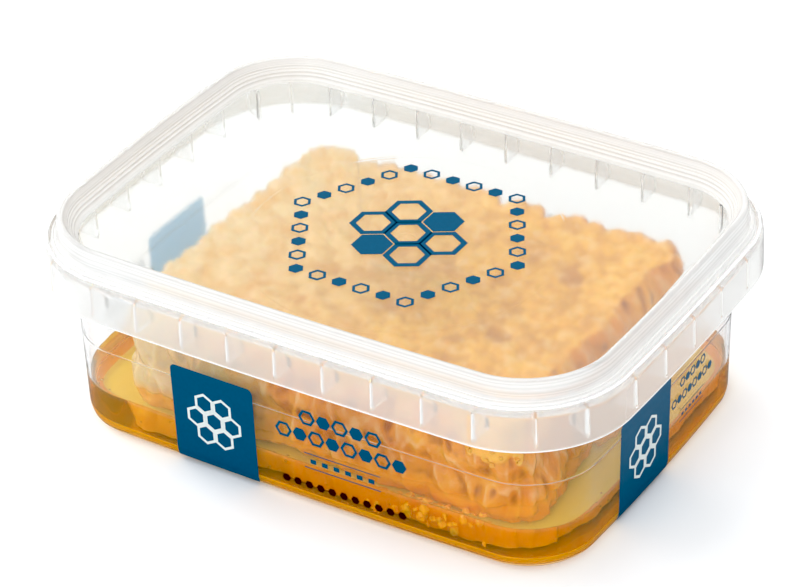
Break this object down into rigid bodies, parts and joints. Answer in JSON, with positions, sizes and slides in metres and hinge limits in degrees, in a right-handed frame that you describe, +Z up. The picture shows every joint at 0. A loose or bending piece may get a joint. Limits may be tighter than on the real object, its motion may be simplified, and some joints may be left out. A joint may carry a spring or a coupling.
{
  "type": "honeycomb piece in a clear tub",
  "caption": "Cut slab of capped honeycomb in runny honey, inside a shut clear rectangular tub with a ribbed rim skirt and a press-on lid with a raised bead round a sunken panel.",
  "frame": {"origin": "middle of the tub's flat base, on the surface that it stands on", "axes": "+X along the tub's long sides, +Y across it from the front to the back, +Z up"},
  "size_m": [0.1288, 0.095, 0.0454],
  "materials": {
    "tub_plastic": "clear moulded polypropylene, a little milky",
    "lid_plastic": "clear moulded polypropylene, fine satin on the panel",
    "honey": "runny amber honey",
    "wax": "capped beeswax comb, moist with honey at its cut sides"
  },
  "bodies": {
    "root": {"tub": "tub_plastic", "lid": "lid_plastic", "honey": "honey", "honeycomb": "wax"}
  },
  "joints": []
}
